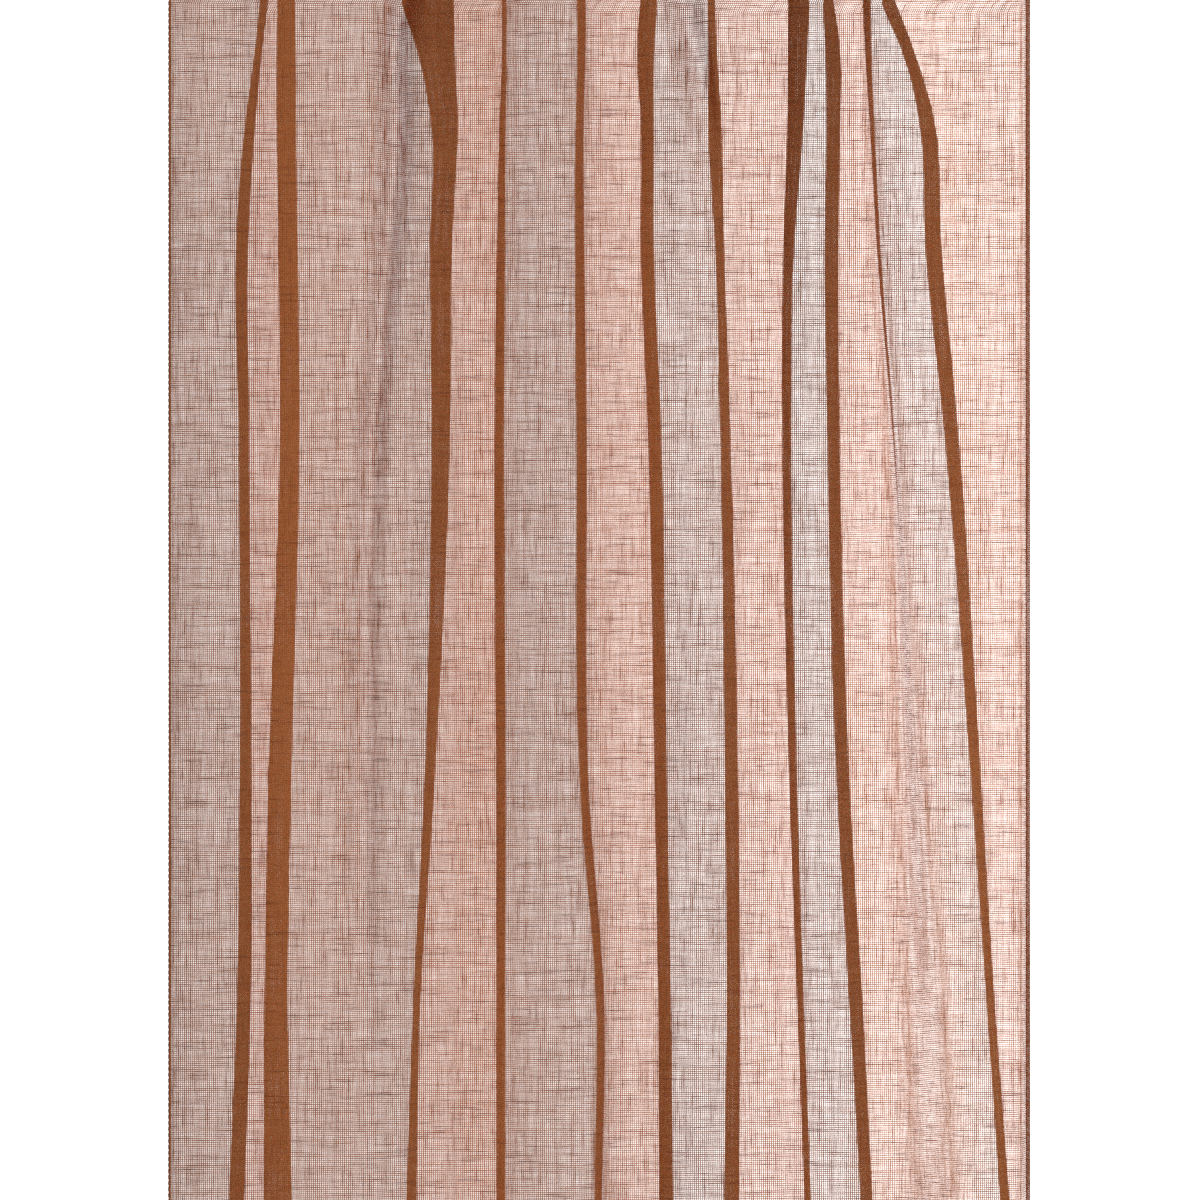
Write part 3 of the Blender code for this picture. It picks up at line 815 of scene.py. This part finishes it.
class CURTAIN_OT_bottom_hem(bpy.types.Operator):
    """Makes the bottom hem as a sleeve, its row of stitches and the bead cord inside it"""

    bl_idname = "curtain.bottom_hem"
    bl_label = "Bottom hem"

    def execute(self, context):
        height = HEM_TOP - HEM_BOTTOM
        share = np.linspace(0.0, 1.0, PANEL_COLUMNS)
        half_gap, rise = np.array(HEM_PROFILE).T
        offsets = np.concatenate([half_gap, -half_gap[::-1]])
        heights = HEM_BOTTOM + height * np.concatenate([rise, rise[::-1]])
        points, across = lay_cloth(share, heights, offsets)
        front = HEADING_TOP - heights[: len(rise)]
        back = HEADING_TOP - 2 * HEM_BOTTOM + heights[len(rise):]
        down = np.concatenate([front, back])
        piece = sheet_piece("bottom_hem_cloth", points, 0.0004, flat_uv(across, down), close_rows=True)
        piece.data.materials.append(hem_cloth())
        hang(piece, "drop")
        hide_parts("bottom_hem")
        level_stitches("hem_stitches", HEM_TOP - 0.003, -0.0011, "drop")
        self.add_beads()
        return {"FINISHED"}

    def add_beads(self):
        """A cord of small lead beads in a knitted sleeve, swelling at each bead."""
        box = np.array(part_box("hem_weight_cord"))
        share = np.linspace(0.012, 0.988, 1400)
        radius = float(box[1, 2] - box[0, 2]) / 2
        line = cloth_points(share, np.array([float(box[:, 2].mean())]))[0]
        along = np.gradient(line, axis=0)
        along /= np.linalg.norm(along, axis=1, keepdims=True)
        up = np.broadcast_to(np.array([0.0, 0.0, 1.0]), along.shape)
        side = np.cross(up, along)
        beads = np.abs(np.sin(share * FLAT_WIDTH * math.pi / 0.005))
        radii = radius * (0.62 + 0.36 * beads)
        piece = tube("hem_bead_cord", line, radii, 8, side, up)
        trim = trims()
        dark = tuple(0.6 * c for c in trim.lead)
        piece.data.materials.append(solid_material("bead_sleeve", tuple(trim.lead), dark, 0.7, 1400.0, 0.5))
        hang(piece, "drop")
        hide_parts("hem_weight_cord")


class CURTAIN_OT_heading(bpy.types.Operator):
    """Makes the top of the cloth: up the room side, over the edge and down the back"""

    bl_idname = "curtain.heading"
    bl_label = "Heading"

    def execute(self, context):
        share = np.linspace(0.0, 1.0, int(PLEATS * PLEAT_STEPS) + 1)
        half = FACING_OFFSET / 2
        turn = np.radians(np.linspace(180, 0, 7))
        top = HEADING_TOP - half - 0.0003
        front = np.linspace(SEAM + EDGE_GAP * 0.5, top, 7)[:-1]
        back = np.linspace(top, SEAM, 7)[1:]
        z = np.concatenate([front, top + half * np.sin(turn), back])
        offset = np.concatenate([np.zeros(6), half + half * np.cos(turn), np.full(6, FACING_OFFSET)])
        down = np.concatenate([[0.0], np.cumsum(np.hypot(np.diff(z), np.diff(offset)))])
        points, across = lay_cloth(share, z, offset)
        piece = sheet_piece("heading_cloth", points, 0.0004, flat_uv(across, down))
        piece.data.materials.append(hem_cloth())
        hang(piece, "heading")
        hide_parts("heading_band")
        for number, z_row in enumerate((TAPE_TOP - 0.002, SEAM + 0.002), start=1):
            level_stitches(f"heading_stitches_{number}", z_row, -0.0003, "heading")
        return {"FINISHED"}


class CURTAIN_OT_tape(bpy.types.Operator):
    """Makes the heading tape with the loops that hold the cords and the hooks"""

    bl_idname = "curtain.tape"
    bl_label = "Heading tape"

    def execute(self, context):
        trim = trims()
        share = np.linspace(0.0, 1.0, int(PLEATS * PLEAT_STEPS) + 1)
        z = np.linspace(TAPE_TOP, SEAM + EDGE_GAP, 12)
        points, across = lay_cloth(share, z, TAPE_OFFSET)
        piece = sheet_piece("heading_tape_weave", points, TAPE_THICKNESS, flat_uv(across, TAPE_TOP - z))
        # The tape's second colour is painted shade between its ribs.
        weave = woven_material("tape_weave", tuple(trim.tape), tuple(trim.tape_painted_shade), 0.0016)
        piece.data.materials.append(weave)
        hang(piece, "heading")
        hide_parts("heading_tape")
        self.add_loops(weave)
        return {"FINISHED"}

    def add_loops(self, weave):
        """Small woven arches off the rear pleats: over each cord, and round each hook's limb."""
        number = np.arange(int(PLEATS) + 1)
        crest_x = HUNG_WIDTH * (number / PLEATS - 0.5)
        cord_z = [float(b[:, 2].mean()) for b in CORD_BOXES]
        over_cords = [(x, z) for x in crest_x for z in cord_z]
        hang(self.arches("heading_tape_loops", over_cords, CORD_LOOP, weave), "heading")
        limb_z = (cord_z[0] + cord_z[1]) / 2 - 0.004, (cord_z[1] + cord_z[2]) / 2 + 0.003
        for name, place in zip(HOOK_NAMES, HOOK_PLACES):
            round_limb = [(place, z) for z in limb_z]
            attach(self.arches(name + "_loops", round_limb, HOOK_LOOP, weave), hook_body(name))

    def arches(self, name, places, sizes, weave):
        """Arches in one piece: each rises from the tape by the sine of its turn, to a power."""
        tape_back = float(TAPE_BOX[1, 1]) - TAPE_THICKNESS
        x, z = np.array(places).T
        half, tall, past_cord = sizes
        turn = np.linspace(0, math.pi, 13)
        rise = np.sin(turn) ** LOOP_RISE_POWER
        edge = np.array([1.0, -1.0])
        points = np.empty((len(x), 2, len(turn), 3))
        points[..., 0] = (x[:, None] - half * np.cos(turn))[:, None]
        points[..., 1] = tape_back + (CORD_Y + past_cord - tape_back) * rise
        points[..., 2] = z[:, None, None] + edge[None, :, None] * tall
        one = np.array(grid_faces(2, len(turn)))
        faces = (one[None] + np.arange(len(x))[:, None, None] * 2 * len(turn)).reshape(-1, 4).tolist()
        uv = np.stack([points[..., 0] * FLAT_WIDTH / HUNG_WIDTH, points[..., 2]], axis=-1)
        piece = make_mesh(name, points, faces, uv)
        shell = piece.modifiers.new("Thickness", "SOLIDIFY")
        shell.thickness = 0.0003
        shell.offset = 0.0
        piece.data.materials.append(weave)
        return piece


class CURTAIN_OT_cords(bpy.types.Operator):
    """Makes the three gathering cords, drawn tight and knotted at both ends"""

    bl_idname = "curtain.cords"
    bl_label = "Gathering cords"

    def execute(self, context):
        trim = trims()
        dark = tuple(0.75 * c for c in trim.cord)
        finish = solid_material("cord_braid", tuple(trim.cord), dark, 0.55, 700.0, 0.6, stretch=(0.4, 1, 1))
        for name, box in zip(CORD_NAMES, CORD_BOXES):
            knot = float(box[1, 2] - box[0, 2]) / 2
            end = float(box[1, 0])
            x = np.linspace(-end, end, 1600)
            inside = (end - np.abs(x)) / (2 * knot)
            radii = 0.0008 * (1 + 0.10 * np.sin(x * 2 * math.pi / 0.0024))
            ball = np.sqrt(np.clip(1 - (inside - 1.0) ** 2, 0.02, 1))
            lump = knot * ball * (0.9 + 0.1 * np.cos(inside * 9))
            radii = np.where(inside < 1.95, np.maximum(radii, lump), radii)
            line = np.stack([x, np.full_like(x, CORD_Y), np.full_like(x, box[:, 2].mean())], axis=1)
            side = np.broadcast_to(np.array([0.0, 1.0, 0.0]), line.shape)
            up = np.broadcast_to(np.array([0.0, 0.0, 1.0]), line.shape)
            piece = tube(name + "_braid", line, radii, 8, side, up)
            piece.data.materials.append(finish)
            hang(piece, "heading")
            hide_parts(name)
        return {"FINISHED"}


class CURTAIN_OT_hooks(bpy.types.Operator):
    """Makes the nylon hooks: a rounded strip bent to a crown, a spine and a limb"""

    bl_idname = "curtain.hooks"
    bl_label = "Hooks"

    def execute(self, context):
        trim = trims()
        dark = tuple(0.93 * c for c in trim.nylon)
        finish = solid_material("hook_nylon", tuple(trim.nylon), dark, 0.32, 220.0, 0.08)
        for name, place in zip(HOOK_NAMES, HOOK_PLACES):
            piece = self.add_hook(name + "_moulded", place)
            piece.data.materials.append(finish)
            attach(piece, hook_body(name))
            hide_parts(name)
        return {"FINISHED"}

    def line(self):
        """The hook's centre line in its side plane, with its outward directions.

        Quarter circles round the crown's two corners and a half circle at the
        lower bend, joined by straight runs.
        """
        box = HOOK_BOXES[0]
        half = STRIP_HALF_THICKNESS
        spine = float(box[1, 1]) - half
        limb = float(box[0, 1]) + half
        radius = 0.0031
        seat = spine - radius
        crown = half - radius
        bend = (-spine - limb) / 2
        lower = float(box[0, 2]) + half + bend
        quarter = np.radians(np.linspace(0, 90, 9))
        under = np.radians(np.linspace(0, -180, 15))
        runs = [
            self.straight((spine, -0.010), (spine, crown), (1, 0)),
            self.round(seat, crown, radius, quarter, 1),
            self.round(-seat, crown, radius, quarter + math.pi / 2, 1),
            self.straight((-spine, crown), (-spine, lower), (-1, 0))[:, 1:],
            self.round(-spine - bend, lower, bend, under, -1),
            self.straight((limb, lower), (limb, -0.008), (1, 0))[:, 1:],
        ]
        return np.concatenate(runs, axis=1)

    def straight(self, start, end, out):
        share = np.linspace(0, 1, 8)[:, None]
        line = np.array(start) * (1 - share) + np.array(end) * share
        return np.stack([line, np.broadcast_to(np.array(out, dtype=float), line.shape)])

    def round(self, y, z, radius, angle, way):
        out = np.stack([np.cos(angle), np.sin(angle)], axis=1)
        return np.stack([np.array([y, z]) + radius * out, out * way])

    def add_hook(self, name, place):
        """Sweeps a rounded flat section, a superellipse, along the line, tapering its ends."""
        line, out = self.line()
        angle = np.linspace(0, 2 * math.pi, 20, endpoint=False)
        flat = np.sign(np.cos(angle)) * np.abs(np.cos(angle)) ** 0.45 * STRIP_HALF_WIDTH
        thick = np.sign(np.sin(angle)) * np.abs(np.sin(angle)) ** 0.6 * STRIP_HALF_THICKNESS
        run = np.concatenate([[0.0], np.cumsum(np.linalg.norm(np.diff(line, axis=0), axis=1))])
        from_end = np.minimum(run, run[-1] - run)
        taper = 0.55 + 0.45 * np.sqrt(np.clip(from_end / 0.0022, 0, 1))
        points = np.empty((len(line), len(angle), 3))
        points[..., 0] = place + flat[None] * taper[:, None]
        points[..., 1] = line[:, :1] + out[:, :1] * thick[None] * taper[:, None]
        points[..., 2] = line[:, 1:] + out[:, 1:] * thick[None] * taper[:, None]
        faces = grid_faces(len(line), len(angle), close_columns=True)
        count = len(line) * len(angle)
        faces.append(list(range(len(angle))))
        faces.append(list(range(count - 1, count - len(angle) - 1, -1)))
        piece = make_mesh(name, points, faces)
        face_outwards(piece)
        return piece


class CURTAIN_OT_label(bpy.types.Operator):
    """Makes the blank care label on the back of the left hem"""

    bl_idname = "curtain.label"
    bl_label = "Care label"

    def execute(self, context):
        trim = trims()
        middle = SIDE_HEM / 2
        share = np.linspace(middle - LABEL_WIDTH / 2, middle + LABEL_WIDTH / 2, 10) / FLAT_WIDTH
        z = np.linspace(float(LABEL_BOX[1, 2]), float(LABEL_BOX[0, 2]), 16)
        curl = 0.0011 + 0.0012 * np.linspace(0, 1, 16) ** 2
        points, across = lay_cloth(share, z, curl)
        piece = sheet_piece("care_label_satin", points, 0.0003, flat_uv(across, HEADING_TOP - z))
        # The darker colour is painted shade in the hollows between the satin's ribs.
        shade = tuple(0.85 * c for c in trim.label)
        piece.data.materials.append(woven_material("label_satin", tuple(trim.label), shade, 0.0006, 0.45))
        hang(piece, "drop")
        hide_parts("care_label")
        return {"FINISHED"}


class CURTAIN_OT_stage(bpy.types.Operator):
    """Makes the floor, the soft light and the camera"""

    bl_idname = "curtain.stage"
    bl_label = "Stage"

    def execute(self, context):
        stage = context.scene.curtain_stage
        self.add_floor(stage)
        self.light_window(context.scene, stage)
        self.add_lamp(context.scene, "room_lamp", stage.room, (1.2, -0.95, -0.4), 0.6)
        self.add_lamp(context.scene, "window_lamp", stage.window_lamp, (0.46, 0.55, -0.45), 0.3)
        self.aim_camera(context.scene, stage)
        context.scene.view_settings.view_transform = "Standard"
        context.scene.cycles.transparent_max_bounces = 32
        context.scene.cycles.use_denoising = False
        return {"FINISHED"}

    def add_floor(self, stage):
        half = stage.floor_side / 2
        z = HEM_BOTTOM - stage.floor_gap
        corners = np.array([(-half, -half, z), (half, -half, z), (half, half, z), (-half, half, z)])
        floor = make_mesh("floor", corners, [[0, 1, 2, 3]])
        finish = solid_material("pale_floor", (0.80, 0.79, 0.77), (0.84, 0.83, 0.81), 0.6, 3.0, 0.0)
        floor.data.materials.append(finish)

    def light_window(self, scene, stage):
        """White light behind the cloth, brighter to the right, and a dim room before it.

        Light from overhead brightens the floor. Looked at directly the surround is
        always white.
        """
        world = bpy.data.worlds.new("window_light")
        world.use_nodes = True
        tree = world.node_tree
        place = tree.nodes.new("ShaderNodeTexCoord")
        split = tree.nodes.new("ShaderNodeSeparateXYZ")
        tree.links.new(place.outputs["Generated"], split.inputs[0])
        sight = tree.nodes.new("ShaderNodeLightPath").outputs["Is Camera Ray"]
        ahead = between(tree, split.outputs[1], 0.80, 0.97)
        brightest = stage.window + stage.window_side
        bright = between(tree, split.outputs[0], -0.055, 0.060, stage.window, brightest)
        window = maths(tree, "MAXIMUM", maths(tree, "MULTIPLY", ahead, bright), 1.0)
        seen = maths(tree, "MULTIPLY", sight, window)
        cast = between(tree, split.outputs[1], 0.3, 1.0, stage.front_light, stage.back_light)
        above = between(tree, split.outputs[2], 0.4, 0.9, 0.0, stage.above)
        strength = maths(tree, "MAXIMUM", seen, maths(tree, "MAXIMUM", cast, above))
        tree.links.new(strength, tree.nodes["Background"].inputs["Strength"])
        tree.nodes["Background"].inputs["Color"].default_value = (1.0, 1.0, 1.0, 1.0)
        scene.world = world

    def add_lamp(self, scene, name, power, place, size):
        """A square soft lamp that faces the cloth at the height of the view."""
        light = bpy.data.lights.new(name, "AREA")
        light.energy = power
        light.size = size
        lamp = bpy.data.objects.new(name, light)
        lamp.location = place
        target = Vector((0.0, HEADING_Y, place[2]))
        lamp.rotation_euler = (target - Vector(place)).to_track_quat("-Z", "Y").to_euler()
        scene.collection.objects.link(lamp)

    def aim_camera(self, scene, stage):
        lens = bpy.data.cameras.new("camera")
        lens.lens = stage.lens
        camera = bpy.data.objects.new("camera", lens)
        away = stage.view_height * stage.lens / lens.sensor_width
        height = SEAM - stage.view_top - stage.view_height / 2
        camera.location = (0.0, HEADING_Y - away, height)
        camera.rotation_euler = (math.pi / 2, 0.0, 0.0)
        scene.collection.objects.link(camera)
        scene.camera = camera


class CURTAIN_PT_panel(bpy.types.Panel):
    """Lists the curtain's pieces and their settings"""

    bl_idname = "CURTAIN_PT_panel"
    bl_label = "Sheer curtain"
    bl_space_type = "VIEW_3D"
    bl_region_type = "UI"
    bl_category = "Curtain"

    def draw(self, context):
        for operator in OPERATORS:
            self.layout.operator(operator.bl_idname)
        for name in ("curtain_weave", "curtain_trim", "curtain_stage"):
            group = getattr(context.scene, name)
            box = self.layout.box()
            for key in group.__annotations__:
                box.prop(group, key)


SETTINGS = (
    ("curtain_weave", CurtainWeave),
    ("curtain_trim", CurtainTrim),
    ("curtain_stage", CurtainStage),
)
OPERATORS = (
    CURTAIN_OT_stage,
    CURTAIN_OT_panel,
    CURTAIN_OT_side_hems,
    CURTAIN_OT_bottom_hem,
    CURTAIN_OT_heading,
    CURTAIN_OT_tape,
    CURTAIN_OT_cords,
    CURTAIN_OT_hooks,
    CURTAIN_OT_label,
)


def register():
    for name, group in SETTINGS:
        bpy.utils.register_class(group)
        setattr(bpy.types.Scene, name, bpy.props.PointerProperty(type=group))
    for operator in OPERATORS:
        bpy.utils.register_class(operator)
    bpy.utils.register_class(CURTAIN_PT_panel)


def unregister():
    bpy.utils.unregister_class(CURTAIN_PT_panel)
    for operator in reversed(OPERATORS):
        bpy.utils.unregister_class(operator)
    for name, group in reversed(SETTINGS):
        delattr(bpy.types.Scene, name)
        bpy.utils.unregister_class(group)


def main():
    register()
    for operator in OPERATORS:
        group, name = operator.bl_idname.split(".")
        getattr(getattr(bpy.ops, group), name)()


if __name__ == "__main__":
    main()
